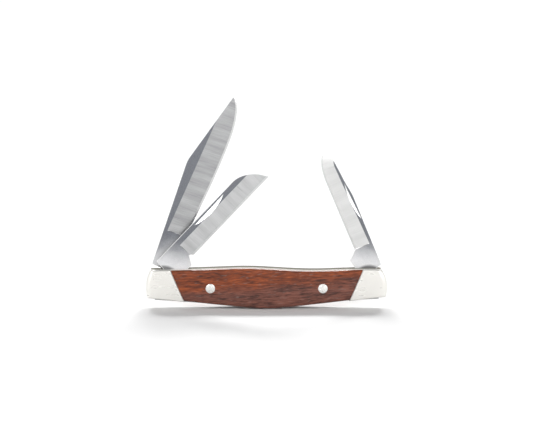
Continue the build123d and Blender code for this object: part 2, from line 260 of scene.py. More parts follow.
bolsterFinish = {
    "colour": (0.75, 0.738, 0.70), "dull": (0.735, 0.723, 0.687), "cloud": 190,
    "roughness": (0.27, 0.3), "lines": 700, "metallic": 0.5,
}


def makeNickelSilver():
    material, nodes, links, shader = newMaterial("nickelSilver")
    spec = bolsterFinish
    wide = noise(nodes, links, objectCoords(nodes, links), spec["cloud"], 3)
    fine = noise(nodes, links, objectCoords(nodes, links, (0.25, 1, 1)), spec["lines"], 1, 0.5)
    colour = ramp(nodes, links, wide, [(0.35, spec["dull"]), (0.62, spec["colour"])])
    links.new(colour, shader.inputs["Base Color"])
    shader.inputs["Metallic"].default_value = spec["metallic"]
    low, high = spec["roughness"]
    links.new(ramp(nodes, links, fine, [(0.3, low), (0.75, high)]), shader.inputs["Roughness"])
    bump(nodes, links, wide, 0.05, 0.00002, shader)
    return material


rivetFinish = {
    "dull": (0.74, 0.735, 0.71), "bright": (0.80, 0.795, 0.77), "roughness": (0.24, 0.3),
    "lines": 600, "dents": 500, "metallic": 0.6,
}


def makeRivetMetal():
    material, nodes, links, shader = newMaterial("rivetMetal")
    spec = rivetFinish
    fine = noise(nodes, links, objectCoords(nodes, links), spec["lines"], 1)
    colour = ramp(nodes, links, fine, [(0.3, spec["dull"]), (0.7, spec["bright"])])
    links.new(colour, shader.inputs["Base Color"])
    shader.inputs["Metallic"].default_value = spec["metallic"]
    low, high = spec["roughness"]
    links.new(ramp(nodes, links, fine, [(0.3, low), (0.7, high)]), shader.inputs["Roughness"])
    dents = noise(nodes, links, objectCoords(nodes, links), spec["dents"], 2)
    bump(nodes, links, dents, 0.05, 0.00002, shader)
    return material


woodLook = {
    # upper and lower are one wood: painted lighter and redder at the top as light, duller and darker at the
    # bottom as shade
    "upper": ((0.060, 0.021, 0.014), (0.145, 0.039, 0.019), (0.225, 0.056, 0.023), (0.34, 0.085, 0.028)),
    "lower": ((0.050, 0.025, 0.021), (0.112, 0.047, 0.036), (0.172, 0.068, 0.050), (0.235, 0.094, 0.069)),
    "stops": (0.36, 0.45, 0.54, 0.66),
    "pore": (0.060, 0.045, 0.042),
    "poreLight": (0.20, 0.165, 0.155),
    "split": (0.0062, 0.0112),  # metres up: below it the dull lower tones, painted shade, above it the red ones, painted light
    "streak": 2300,
    "broad": 380,
    "specular": 0.14,
}


def makeRosewood():
    material, nodes, links, shader = newMaterial("rosewood")
    wave = noise(nodes, links, objectCoords(nodes, links, (0.35, 1, 1)), 130, 2)
    shifted = nodes.new("ShaderNodeCombineXYZ")
    split = nodes.new("ShaderNodeSeparateXYZ")
    links.new(objectCoords(nodes, links, turn=(0, math.radians(4), 0)), split.inputs["Vector"])
    links.new(split.outputs["X"], shifted.inputs["X"])
    links.new(split.outputs["Y"], shifted.inputs["Y"])
    lifted = math2(nodes, links, "ADD", split.outputs["Z"], math2(nodes, links, "MULTIPLY", wave, 0.0022))
    links.new(lifted, shifted.inputs["Z"])

    def grain(scale, stretch, detail, place=0.0):
        mapping = nodes.new("ShaderNodeMapping")
        mapping.inputs["Scale"].default_value = (stretch, 1, 1)
        mapping.inputs["Location"].default_value = (place, place, 0)
        links.new(shifted.outputs["Vector"], mapping.inputs["Vector"])
        return noise(nodes, links, mapping.outputs["Vector"], scale, detail, 0.6, 0.15)

    streak = math2(nodes, links, "MULTIPLY", grain(woodLook["streak"], 0.13, 4), 0.7)
    broad = grain(woodLook["broad"], 0.2, 3, 0.4)
    figure = math2(nodes, links, "ADD", streak, math2(nodes, links, "MULTIPLY", broad, 0.3))
    upper = ramp(nodes, links, figure, list(zip(woodLook["stops"], woodLook["upper"])))
    lower = ramp(nodes, links, figure, list(zip(woodLook["stops"], woodLook["lower"])))
    # painted light and shade: the shaded lower tones blend into the lit upper ones by height
    shadeToLight = nodes.new("ShaderNodeMapRange")
    shadeToLight.interpolation_type = "SMOOTHSTEP"
    shadeToLight.inputs["From Min"].default_value, shadeToLight.inputs["From Max"].default_value = woodLook["split"]
    blurred = math2(nodes, links, "ADD", lifted, math2(nodes, links, "MULTIPLY", broad, 0.006))
    links.new(math2(nodes, links, "SUBTRACT", blurred, 0.003), shadeToLight.inputs["Value"])
    base = mixColour(nodes, links, shadeToLight.outputs["Result"], lower, upper)
    poreMask = ramp(nodes, links, grain(woodLook["streak"], 0.17, 2, 0.9), [(0.58, 0.0), (0.68, 1.0)])
    base = mixColour(nodes, links, math2(nodes, links, "MULTIPLY", poreMask, 0.5), base, woodLook["pore"])
    dashMask = ramp(nodes, links, grain(2000, 0.2, 1, 1.7), [(0.66, 0.0), (0.72, 1.0)])
    dashes = math2(nodes, links, "MULTIPLY", dashMask, 0.35)
    base = mixColour(nodes, links, dashes, base, woodLook["poreLight"])
    links.new(base, shader.inputs["Base Color"])
    links.new(ramp(nodes, links, poreMask, [(0.0, 0.42), (1.0, 0.65)]), shader.inputs["Roughness"])
    shader.inputs["Specular IOR Level"].default_value = woodLook["specular"]
    bump(nodes, links, math2(nodes, links, "SUBTRACT", 1.0, poreMask), 0.2, 0.00004, shader)
    return material


flatLook = {
    "dark": ((0.125, 0.131, 0.146), (0.180, 0.187, 0.206)),
    "tang": ((0.60, 0.602, 0.612), (0.70, 0.70, 0.708)),
    "fade": (6.5, 20.0),  # mm from the pivot over which the tang's light tone goes dark
    "mouth": (4.8, 5.9),  # mm from the pivot where the well ends
    # painted shade: share of the tang's tone left where it goes into the well
    "wellShadeShare": 0.3,
}


def bladeCoords(nodes, links, scale=(1, 1, 1)):  # mm along and across the blade
    return objectCoords(nodes, links, scale, attribute="bladeCoord")


def makeFlatSteel():  # tumbled flats: light round the pivot, darker along the spine
    material, nodes, links, shader = newMaterial("flatSteel")
    speck = noise(nodes, links, bladeCoords(nodes, links), 2.6, 4, 0.75)
    cloud = noise(nodes, links, bladeCoords(nodes, links), 0.35, 3)
    dark = ramp(nodes, links, speck, [(0.35, flatLook["dark"][0]), (0.66, flatLook["dark"][1])])
    light = ramp(nodes, links, speck, [(0.35, flatLook["tang"][0]), (0.66, flatLook["tang"][1])])
    split = nodes.new("ShaderNodeSeparateXYZ")
    links.new(bladeCoords(nodes, links), split.inputs["Vector"])
    slant = math2(nodes, links, "MULTIPLY", split.outputs["Y"], 0.7)
    reach = math2(nodes, links, "ADD", split.outputs["X"], slant)
    reach = math2(nodes, links, "ADD", reach, math2(nodes, links, "MULTIPLY", cloud, 3.0))
    nearTang = nodes.new("ShaderNodeMapRange")
    nearTang.interpolation_type = "SMOOTHSTEP"
    nearTang.inputs["From Min"].default_value, nearTang.inputs["From Max"].default_value = flatLook["fade"]
    nearTang.inputs["To Min"].default_value, nearTang.inputs["To Max"].default_value = 1.0, 0.0
    links.new(reach, nearTang.inputs["Value"])
    steel = mixColour(nodes, links, nearTang.outputs["Result"], dark, light)
    fromPivot = nodes.new("ShaderNodeVectorMath")
    fromPivot.operation = "LENGTH"
    flat = nodes.new("ShaderNodeCombineXYZ")
    links.new(split.outputs["X"], flat.inputs["X"])
    links.new(split.outputs["Y"], flat.inputs["Y"])
    links.new(flat.outputs["Vector"], fromPivot.inputs[0])
    wellShade = nodes.new("ShaderNodeMapRange")  # painted shade darkens the tang where it goes into the well
    wellShade.interpolation_type = "SMOOTHSTEP"
    wellShade.inputs["From Min"].default_value, wellShade.inputs["From Max"].default_value = flatLook["mouth"]
    wellShade.inputs["To Min"].default_value = flatLook["wellShadeShare"]
    links.new(fromPivot.outputs["Value"], wellShade.inputs["Value"])
    base = mixColour(nodes, links, 1.0, steel, wellShade.outputs["Result"], "MULTIPLY")
    links.new(base, shader.inputs["Base Color"])
    shader.inputs["Metallic"].default_value = 1.0
    links.new(ramp(nodes, links, speck, [(0.3, 0.36), (0.7, 0.5)]), shader.inputs["Roughness"])
    bump(nodes, links, speck, 0.12, 0.00002, shader)
    return material


def makeGroundSteel(name, low, high):  # belt-ground faces: fine lines run across the blade
    material, nodes, links, shader = newMaterial(name)
    lines = noise(nodes, links, bladeCoords(nodes, links, (1, 0.03, 0.2)), 3.2, 5, 0.8)
    bands = noise(nodes, links, bladeCoords(nodes, links, (1, 0.10, 0.2)), 0.30, 3, 0.6)
    fineShare = math2(nodes, links, "MULTIPLY", lines, 0.45)
    both = math2(nodes, links, "ADD", fineShare, math2(nodes, links, "MULTIPLY", bands, 0.55))
    links.new(ramp(nodes, links, both, [(0.38, low), (0.62, high)]), shader.inputs["Base Color"])
    shader.inputs["Metallic"].default_value = 1.0
    links.new(ramp(nodes, links, lines, [(0.3, 0.26), (0.7, 0.4)]), shader.inputs["Roughness"])
    bump(nodes, links, lines, 0.12, 0.00002, shader)
    return material


def makeEdgeSteel(name, tones, roughness, metallic):
    material, nodes, links, shader = newMaterial(name)
    lines = noise(nodes, links, bladeCoords(nodes, links, (1, 0.05, 0.2)), 9.0, 3, 0.7)
    links.new(ramp(nodes, links, lines, [(0.3, tones[0]), (0.7, tones[1])]), shader.inputs["Base Color"])
    shader.inputs["Metallic"].default_value = metallic
    rough = ramp(nodes, links, lines, [(0.3, roughness[0]), (0.7, roughness[1])])
    links.new(rough, shader.inputs["Roughness"])
    bump(nodes, links, lines, 0.06, 0.00001, shader)
    return material


plateFinish = {
    # the liners are one metal: the front liner's white is painted light, the olive of the centre and rear liners
    # painted shade
    "frontLinerPaintedLight": {"edge": (0.80, 0.78, 0.74), "side": (0.80, 0.78, 0.73), "lines": 2600,
                        "metallic": 0.0, "roughness": (0.5, 0.65)},
    "linerPaintedShade": {"edge": (0.225, 0.215, 0.175), "side": (0.20, 0.19, 0.155), "lines": 2600,
                   "metallic": 0.0, "roughness": (0.6, 0.75)},
    "springSteel": {"edge": (0.62, 0.62, 0.63), "side": (0.34, 0.34, 0.35), "lines": 2200,
                    "metallic": 0.9, "roughness": (0.3, 0.42)},
}


def makePlateMetal(name):  # one tone on the thin edges, another on the flat sides
    material, nodes, links, shader = newMaterial(name)
    spec = plateFinish[name]
    fine = noise(nodes, links, objectCoords(nodes, links, (0.08, 1, 1)), spec["lines"], 4, 0.65)
    geometry = nodes.new("ShaderNodeNewGeometry")
    split = nodes.new("ShaderNodeSeparateXYZ")
    links.new(geometry.outputs["Normal"], split.inputs["Vector"])
    facing = math2(nodes, links, "ABSOLUTE", split.outputs["Y"])
    side = ramp(nodes, links, facing, [(0.4, 0.0), (0.7, 1.0)])
    dim = tuple(0.86 * c for c in spec["edge"])
    edge = ramp(nodes, links, fine, [(0.3, dim), (0.7, spec["edge"])])
    links.new(mixColour(nodes, links, side, edge, spec["side"]), shader.inputs["Base Color"])
    shader.inputs["Metallic"].default_value = spec["metallic"]
    low, high = spec["roughness"]
    links.new(ramp(nodes, links, fine, [(0.3, low), (0.7, high)]), shader.inputs["Roughness"])
    shader.inputs["Specular IOR Level"].default_value = 0.2
    bump(nodes, links, fine, 0.06, 0.00002, shader)
    return material


nickelSilver = makeNickelSilver()
rivetMetal = makeRivetMetal()
rosewood = makeRosewood()
flatSteel = makeFlatSteel()
groundLinesAndPaintedLight = {  # darkest and lightest line of each ground face; the blades are one steel, so the tone differences between blades are painted light and shade
    "clip": ((0.27, 0.272, 0.277), (0.45, 0.453, 0.458)),
    "sheepsfoot": ((0.42, 0.423, 0.427), (0.57, 0.573, 0.577)),
    "spey": ((0.57, 0.57, 0.566), (0.66, 0.66, 0.656)),
}
groundSteels = {word: makeGroundSteel(word + "Ground", *tones) for word, tones in groundLinesAndPaintedLight.items()}
edgeSteel = makeEdgeSteel("edgeSteel", (0.56, 0.64), (0.2, 0.3), 1.0)
# painted highlight: the rims are steel, shown as a near-white non-metal so the polished edges read bright
rimPaintedHighlight = makeEdgeSteel("rimPaintedHighlight", (0.84, 0.92), (0.4, 0.5), 0.0)
nickSteel = makeEdgeSteel("nickSteel", (0.70, 0.82), (0.24, 0.34), 1.0)
frontLinerPaintedLight = makePlateMetal("frontLinerPaintedLight")
linerPaintedShade = makePlateMetal("linerPaintedShade")
springSteel = makePlateMetal("springSteel")
print("stage: materials made")


# the scales and bolsters are plates with shaped rims
def sideTurns(loop):
    sides = np.roll(loop, -1, axis=0) - loop
    return sides / np.linalg.norm(sides, axis=1)[:, None]


def buildPlate(name, outline, holes, inner, outer, profile, widths, material):
    direction = 1 if outer > inner else -1
    rings = [(outline, inner)]
    for inset, drop in profile:
        rings.append((insetRing(outline, widths * inset), outer - direction * drop))
    verts, faces = [], []
    count = len(outline)
    for ring, y in rings:
        verts += [(p[0] * mm, y * mm, p[1] * mm) for p in ring]
    for k in range(len(rings) - 1):
        for i in range(count):
            j = (i + 1) % count
            faces.append((k * count + i, k * count + j, (k + 1) * count + j, (k + 1) * count + i))
    for ring, y in (rings[0], rings[-1]):
        points = [tuple(p) for p in ring]
        edges = [(i, (i + 1) % count) for i in range(count)]
        for hole in holes:
            start = len(points)
            points += [tuple(p) for p in hole]
            edges += [(start + i, start + (i + 1) % len(hole)) for i in range(len(hole))]
        flat, triangles = triangulate(points, edges, ring, holes)
        base = len(verts)
        verts += [(p[0] * mm, y * mm, p[1] * mm) for p in flat]
        faces += [tuple(base + v for v in f) for f in triangles]
    for hole in holes:
        base = len(verts)
        for y in (inner, outer):
            verts += [(p[0] * mm, y * mm, p[1] * mm) for p in hole]
        size = len(hole)
        for i in range(size):
            j = (i + 1) % size
            faces.append((base + i, base + j, base + size + j, base + size + i))
    piece = finishMesh(name, verts, faces, [material])
    cleanShell(piece)
    piece.data.set_sharp_from_angle(angle=math.radians(28))
    shell = bmesh.new()
    shell.from_mesh(piece.data)
    for edge in shell.edges:  # the flat middle keeps its own flat shading
        if len({abs(face.normal.y) > 0.99999 for face in edge.link_faces}) == 2:
            edge.smooth = False
    print("  open edges:", sum(1 for edge in shell.edges if len(edge.link_faces) != 2))
    shell.to_mesh(piece.data)
    shell.free()
    return piece


def innerOutline(node, facing):  # the flat face that lies on the liner, with its holes
    low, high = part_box(node)
    inner = high.y if facing < 0 else low.y
    mesh = frame["nodes"][node].data
    keyOf = lambda co: (round(co.x / mm, 3), round(co.z / mm, 3))
    counts = {}
    for face in mesh.polygons:
        if all(abs(mesh.vertices[v].co.y - inner) < 2e-6 for v in face.vertices):
            keys = [keyOf(mesh.vertices[v].co) for v in face.vertices]
            for a, b in zip(keys, keys[1:] + keys[:1]):
                if a != b:
                    pair = tuple(sorted((a, b)))
                    counts[pair] = counts.get(pair, 0) + 1
    links = {}
    for (a, b), times in counts.items():
        if times == 1:
            links.setdefault(a, []).append(b)
            links.setdefault(b, []).append(a)
    loops, seen = [], set()
    for start in sorted(links):
        if start in seen:
            continue
        loop, here = [], start
        while here not in seen:
            seen.add(here)
            loop.append(here)
            onward = [k for k in links[here] if k not in seen]
            if not onward:
                break
            here = onward[0]
        loops.append(np.array(loop))
    loops.sort(key=lambda loop: -abs(area(loop)))
    return [loop if area(loop) > 0 else loop[::-1] for loop in loops if len(loop) > 5]


scaleShape = {
    "profile": [  # mm in from the rim, mm below the face
        (0.0, 0.95), (0.07, 0.66), (0.2, 0.42), (0.42, 0.24), (0.75, 0.13), (1.3, 0.07), (2.2, 0.03), (3.6, 0.0),
    ],
    "spacing": 0.5,
}
for facing, word in ((-1, "front"), (1, "rear")):
    node = word + "_scale"
    low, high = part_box(node)
    loop = resample(innerOutline(node, facing)[0], scaleShape["spacing"])
    turns = sideTurns(loop)
    widths = np.where(np.abs(turns[:, 1]) > steepSide, 0.0, 1.0)  # the slanted joints stay square
    inner, outer = (high.y / mm, low.y / mm) if facing < 0 else (low.y / mm, high.y / mm)
    piece = buildPlate(word + "Scale", loop, [], inner, outer, scaleShape["profile"], widths, rosewood)
    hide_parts(node)
    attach(piece, "handle")

bolsterShape = {
    "profile": [(0.0, 0.36), (0.05, 0.26), (0.34, 0.02), (0.42, 0.0)],
    "rimWidth": 0.7,
    "endWidth": 3.4,
    "endReach": 2.0,  # mm from the handle's end that still count as its end
    "jointWidth": 0.9,
    "blendSteps": 12,
    "spacing": 0.4,
}
for facing, word in ((-1, "front"), (1, "rear")):
    for side, hand in ((-1, "left"), (1, "right")):
        node = f"{word}_{hand}_bolster"
        low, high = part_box(node)
        loops = innerOutline(node, facing)
        loop = resample(loops[0], bolsterShape["spacing"])
        turns = sideTurns(loop)
        middles = (loop + np.roll(loop, -1, axis=0)) / 2
        widths = np.full(len(loop), bolsterShape["rimWidth"])
        steep = np.abs(turns[:, 1]) > steepSide
        outerEnd = middles[:, 0] * side > (abs(low.x) if side < 0 else high.x) / mm - bolsterShape["endReach"]
        widths[steep & outerEnd] = bolsterShape["endWidth"]
        widths[steep & ~outerEnd] = bolsterShape["jointWidth"]
        for _ in range(bolsterShape["blendSteps"]):  # the end band narrows gradually into the rim
            widths = 0.5 * widths + 0.25 * (np.roll(widths, 1) + np.roll(widths, -1))
        inner, outer = (high.y / mm, low.y / mm) if facing < 0 else (low.y / mm, high.y / mm)
        name, profile = f"{word}{hand.title()}Bolster", bolsterShape["profile"]
        piece = buildPlate(name, loop, loops[1:], inner, outer, profile, widths, nickelSilver)
        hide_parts(node)
        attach(piece, "handle")
print("stage: scales and bolsters built")


# each blade is drawn in its own frame, in mm: the pivot is the origin, x runs to the tip and y to the spine
def curveThrough(points, step=0.45, first=None, last=None):  # a smooth line through the points
    points = np.array(points, float)
    chords = np.linalg.norm(np.diff(points, axis=0), axis=1)
    ends = np.concatenate([[0], np.cumsum(chords)])
    tangents = np.gradient(points, ends, axis=0)
    if len(points) > 2:
        tangents[0] = 2 * (points[1] - points[0]) / chords[0] - tangents[1]
        tangents[-1] = 2 * (points[-1] - points[-2]) / chords[-1] - tangents[-2]
    for place, direction in ((0, first), (-1, last)):
        if direction is not None:
            tangents[place] = np.array(direction) / np.linalg.norm(direction)
    line = []
    for i, length in enumerate(chords):
        count = max(2, int(round(length / step)))
        for t in np.arange(count) / count:
            a, b = 2 * t ** 3 - 3 * t ** 2 + 1, t ** 3 - 2 * t ** 2 + t
            c, d = -2 * t ** 3 + 3 * t ** 2, t ** 3 - t ** 2
            line.append(a * points[i] + b * length * tangents[i]
                        + c * points[i + 1] + d * length * tangents[i + 1])
    return line + [points[-1]]


def straightThrough(points, step=0.45):
    line = []
    for a, b in zip(points[:-1], points[1:]):
        a, b = np.array(a, float), np.array(b, float)
        count = max(1, int(math.ceil(np.linalg.norm(b - a) / step)))
        line += [a + (b - a) * k / count for k in range(count)]
    return line + [np.array(points[-1], float)]


def roundedCorner(before, corner, after, radius, count=7):
    before, corner, after = (np.array(p, float) for p in (before, corner, after))
    a = (before - corner) / np.linalg.norm(before - corner)
    b = (after - corner) / np.linalg.norm(after - corner)
    half = math.acos(float(a @ b)) / 2
    reach = radius / math.tan(half)
    middle = corner + (a + b) / np.linalg.norm(a + b) * radius / math.sin(half)
    start, end = corner + a * reach - middle, corner + b * reach - middle
    turn = math.atan2(start[0] * end[1] - start[1] * end[0], float(start @ end))
    cut = [turn * k / count for k in range(count + 1)]
    return [middle + np.array([start[0] * math.cos(t) - start[1] * math.sin(t),
                               start[0] * math.sin(t) + start[1] * math.cos(t)]) for t in cut]


def rowAlong(line, width):  # the line moved to its left
    steps = np.gradient(line, axis=0)
    steps /= np.linalg.norm(steps, axis=1)[:, None]
    return line + width * np.stack([-steps[:, 1], steps[:, 0]], axis=1)


def bladeOutline(shape):
    tang, tilt = shape["tang"], math.radians(shape["tilt"])
    closedFlat = lambda x: -(tang + x * math.sin(tilt)) / math.cos(tilt)
    root = [(shape["step"], tang), (-tang, tang), (-tang, closedFlat(-tang))]
    foot = [(x, closedFlat(x) + lift) for x, lift in shape["foot"]]
    outline = [np.array(root[0], float)]
    outline += roundedCorner(root[0], root[1], root[2], shape["cornerRadius"])
    outline += roundedCorner(root[1], root[2], foot[0], shape["cornerRadius"])
    outline += straightThrough(foot + shape.get("choil", []) + [shape["heel"]])
    edge = straightThrough(shape["edgeStraight"])[:-1] + curveThrough(shape["edgeCurve"])
    spine = shape["spine"]
    back = []
    for kind, points, *ends in spine:
        line = curveThrough(points, first=ends[0], last=ends[1]) if kind == "curve" else straightThrough(points)
        back += line[:-1]
    back.append(np.array(spine[-1][1][-1], float))
    outline = outline + edge[1:] + back[1:] + straightThrough([spine[-1][1][-1], root[0]])[1:-1]
    kept = [outline[0]]
    for p in outline[1:]:
        if np.linalg.norm(p - kept[-1]) > 0.05:
            kept.append(p)
    return np.array(kept), np.array(edge)


def buildBlade(name, node, joint, shape, groundSteel):
    low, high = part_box(node)
    middleY, half = (low.y + high.y) / 2 / mm, (high.y - low.y) / 2 / mm
    pivot = np.array([joint["pos_m"][0], joint["pos_m"][2]]) / mm
    outline, edgeLine = bladeOutline(shape)
    closed = np.vstack([outline, outline[:1]])
    grind = np.array(straightThrough(shape["grind"]))
    plunge, run, rim, bevel = shape["plunge"], shape["plungeRun"], shape["rim"], shape["bevel"]

    # the nail nick: a lens between a nearly straight upper line and a bowed lower one
    (startX, startY), (endX, endY) = shape["nick"]
    steps = np.linspace(0, 1, 29)
    chord = np.stack([startX + (endX - startX) * steps, startY + (endY - startY) * steps], axis=1)
    unit = (chord[-1] - chord[0]) / np.linalg.norm(chord[-1] - chord[0])
    down = np.array([unit[1], -unit[0]])
    bow = np.sin(np.pi * steps) ** 0.8
    upper, lower = (chord + (sag * bow)[:, None] * down for sag in shape["nickSag"])
    nickLoop = np.concatenate([lower, upper[::-1][1:-1]])
    nickClosed = np.vstack([nickLoop, nickLoop[:1]])

    def ground(points):  # True where the blade is ground thin
        limit = np.interp(points[:, 0], grind[:, 0], grind[:, 1], right=99)
        return (points[:, 0] > plunge) & (points[:, 1] < limit)

    def halfThickness(points):
        toEdge, toGrind = distanceTo(points, edgeLine), distanceTo(points, grind)
        share = np.maximum(toEdge - bevel, 0)
        share = share / np.maximum(share + toGrind, 1e-6)
        value = shape["bevelHalf"] * np.minimum(toEdge / bevel, 1) + (half - shape["bevelHalf"]) * share
        start = np.clip((points[:, 0] - plunge) / run, 0, 1)
        value = half + (value - half) * start * start * (3 - 2 * start)
        limit = np.interp(points[:, 0], grind[:, 0], grind[:, 1], right=99)
        return np.where((points[:, 0] > plunge) & (points[:, 1] < limit + 1e-4), value, half)

    points, edges = [], []

    def addLine(line, loop=False):
        start = len(points)
        points.extend(tuple(p) for p in line)
        edges.extend((start + i, start + i + 1) for i in range(len(line) - 1))
        if loop:
            edges.append((len(points) - 1, start))

    def addInside(line, gap):  # only the stretches well inside the blade and off the nick
        good = insideLoop(line, outline) & (distanceTo(line, closed) > gap)
        good &= ~insideLoop(line, nickLoop) & (distanceTo(line, nickClosed) > 0.05)
        stretch = []
        for p, fits in list(zip(line, good)) + [(None, False)]:
            if fits:
                stretch.append(p)
            elif stretch:
                addLine(stretch)
                stretch = []

    addLine(outline, True)
    turns = np.linspace(0, 2 * math.pi, 48, endpoint=False)
    hole = shape["hole"] * np.stack([np.cos(turns), np.sin(turns)], axis=1)
    addLine(hole, True)
    addLine(nickLoop, True)
    for share in (0.12, 0.4, 0.7):
        addLine((upper + (lower - upper) * share)[2:-2])
    ring = insetLoop(outline, np.full(len(outline), rim))
    onEdge = (distanceTo(outline, edgeLine) < 0.02) & (outline[:, 0] > plunge + 0.2)
    stretch = []
    first = int(np.argmax(onEdge))
    for k in range(len(ring) + 1):
        i = (first + k) % len(ring)
        if not onEdge[i] and insideLoop(ring[i:i + 1], outline)[0] and k < len(ring):
            stretch.append(ring[i])
        elif stretch:
            addLine(stretch)
            stretch = []
    addInside(rowAlong(edgeLine, bevel)[1:-1], 0.25)
    addInside(grind, rim * 1.3)
    for share in (0, 0.5, 1.0):
        heightsUp = np.linspace(edgeLine[0][1], shape["grind"][0][1] - 0.02, 30)
        addInside(np.stack([np.full(30, plunge + run * share), heightsUp], axis=1), 0.05)
    for share in range(1, 8):
        row = rowAlong(edgeLine, bevel + share * 0.95)[::2]
        good = insideLoop(row, outline) & (distanceTo(row, closed) > 0.35)
        good &= ground(row) & (distanceTo(row, grind) > 0.3) & (row[:, 0] > plunge + run + 0.3)
        good &= ~insideLoop(row, nickLoop) & (distanceTo(row, nickClosed) > 0.3)
        points.extend(tuple(p) for p in row[good])

    flat, triangles = triangulate(points, edges, outline, [hole])
    toRim, toEdge = distanceTo(flat, closed), distanceTo(flat, edgeLine)
    heights = halfThickness(flat)
    sharp = (toEdge < 0.003) & (flat[:, 0] > plunge + run * 0.5)
    rimmed = (toRim < 0.01) & ~sharp
    heights = np.where(rimmed, heights - np.minimum(rim, 0.5 * heights), heights)
    heights = np.maximum(heights, 0.004)
    toUpper, toLower = distanceTo(flat, upper), distanceTo(flat, lower)
    depth = shape["nickDepth"] * np.minimum(toLower / shape["nickFloor"], 1) * np.minimum(toUpper / 0.1, 1)
    depth = np.where(insideLoop(flat, nickLoop), depth, 0)
    centres = np.array([flat[list(f)].mean(axis=0) for f in triangles])
    inGround, inNick = ground(centres), insideLoop(centres, nickLoop)
    inBevel = inGround & (distanceTo(centres, edgeLine) < bevel * 0.96)
    nearRim = (distanceTo(centres, closed) < rim * 0.9) & ~inBevel
    kind = np.where(inBevel, 2, np.where(inGround, 1, 0))
    kind = np.where(nearRim, 3, kind)

    turn = math.radians(shape["angle"])
    along = np.array([-shape["side"] * math.cos(turn), math.sin(turn)])
    across = np.array([shape["side"] * math.sin(turn), math.cos(turn)])
    placed = pivot + flat[:, :1] * along + flat[:, 1:2] * across
    verts, faces, kinds, coords = [], [], [], []
    for face in (-1, 1):
        cut = depth if face == shape["nickFace"] else 0 * depth
        for p, h, d in zip(placed, heights, cut):
            verts.append((p[0] * mm, (middleY + face * (h - d)) * mm, p[1] * mm))
        coords += [(p[0], p[1], face * 3.0) for p in flat]
    count = len(flat)
    for face, base in ((-1, 0), (1, count)):
        for f, k, nick in zip(triangles, kind, inNick):
            faces.append(tuple(base + v for v in (f[::-1] if base else f)))
            kinds.append(4 if nick and face == shape["nickFace"] else int(k))
    shared = {}
    for f in triangles:
        for a, b in zip(f, f[1:] + f[:1]):
            shared[(min(a, b), max(a, b))] = shared.get((min(a, b), max(a, b)), 0) + 1
    for (a, b), times in shared.items():
        if times == 1:
            faces.append((a, b, count + b, count + a))
            kinds.append(3)
    piece = finishMesh(name, verts, faces, [flatSteel, groundSteel, edgeSteel, rimPaintedHighlight, nickSteel], kinds)
    bladeCoord = piece.data.attributes.new("bladeCoord", "FLOAT_VECTOR", "POINT")
    bladeCoord.data.foreach_set("vector", np.array(coords, np.float32).ravel())
    shell = bmesh.new()
    shell.from_mesh(piece.data)
    bmesh.ops.recalc_face_normals(shell, faces=shell.faces)
    for edge in shell.edges:
        a, b = edge.link_faces[0], edge.link_faces[-1]
        edge.smooth = a.material_index == b.material_index and a.normal.angle(b.normal, 0) < math.radians(16)
    print("  open edges:", sum(1 for edge in shell.edges if len(edge.link_faces) != 2))
    shell.to_mesh(piece.data)
    shell.free()
    return piece


common = {
    "rim": 0.15, "bevel": 0.6, "bevelHalf": 0.14, "plungeRun": 0.12,
    "hole": 1.23, "tang": 2.75, "nickDepth": 0.3,
}
clipBlade = {
    **common, "angle": 71.05, "side": -1, "tilt": 4.9, "cornerRadius": 1.4, "nickFace": 1,
    "step": 3.65, "foot": [(10.5, 0)], "heel": (16.2, -2.1),
    "edgeStraight": [(16.2, -2.1), (34.2, -4.3)],
    "edgeCurve": [
        (34.2, -4.3), (44.6, -5.2), (50.7, -5.55), (55.8, -5.6), (60.3, -5.15), (64.6, -4.05), (67.5, -2.19),
    ],
    "spine": [("line", [(67.5, -2.19), (42, 5.65), (40.9, 5.83), (39.7, 5.91), (3.9, 5.93)])],
    "plunge": 16.4, "grind": [(16.4, 4.55), (57.8, 0.79)],
    "nick": ((24.8, 5.0), (38.8, 4.1)), "nickSag": (0.0, 1.2), "nickFloor": 1.0,
}
sheepsfootBlade = {
    **common, "angle": 46.3, "side": -1, "tilt": 1.0, "cornerRadius": 1.7, "nickFace": -1,
    "step": 2.85, "foot": [(10.4, 0)], "choil": [(12.35, 0.0)], "heel": (13.5, -1.05),
    "edgeStraight": [(13.5, -1.05), (49.9, -1.05)],
    "edgeCurve": [(49.9, -1.05), (50.1, -0.97), (50.2, -0.8)],
    "spine": [
        ("curve", [(50.2, -0.8), (47.9, 2.7), (45.7, 4.7), (42, 6.4), (38.7, 6.53)], (-1, 1.5), (-1, 0)),
        ("line", [(38.7, 6.53), (3.2, 6.53)]),
    ],
    "plunge": 12.6, "grind": [(12.6, 4.6), (45.8, 4.6)],
    "nick": ((20.9, 5.72), (35.4, 5.95)), "nickSag": (0.05, 1.35), "nickFloor": 1.1,
}
speyBlade = {
    **common, "angle": 67.0, "side": 1, "tilt": 3.5, "cornerRadius": 0.8, "nickFace": -1,
    "step": 2.75, "foot": [(3.5, 0), (5.5, 0.5), (8.8, 0)], "heel": (11.4, -0.35),
    "edgeStraight": [(11.4, -0.35), (36, -0.4)],
    "edgeCurve": [(36, -0.4), (39.2, -0.2), (41.9, 0.25), (44.4, 1.25), (46.6, 2.9)],
    "spine": [
        ("line", [(46.6, 2.9), (44.8, 4.25), (42.7, 4.95)]),
        ("curve", [(42.7, 4.95), (38, 5.35), (33.5, 5.75), (30.7, 6.15), (28.2, 6.35)], None, (-1, 0)),
        ("line", [(28.2, 6.35), (3.4, 6.11)]),
    ],
    "plunge": 11.6, "grind": [(11.6, 5.1), (40.3, 4.3), (41.6, 4.5), (42.7, 4.95)],
    "nick": ((20.4, 5.9), (33.7, 5.2)), "nickSag": (0.05, 0.9), "nickFloor": 0.7, "nickDepth": 0.24,
}
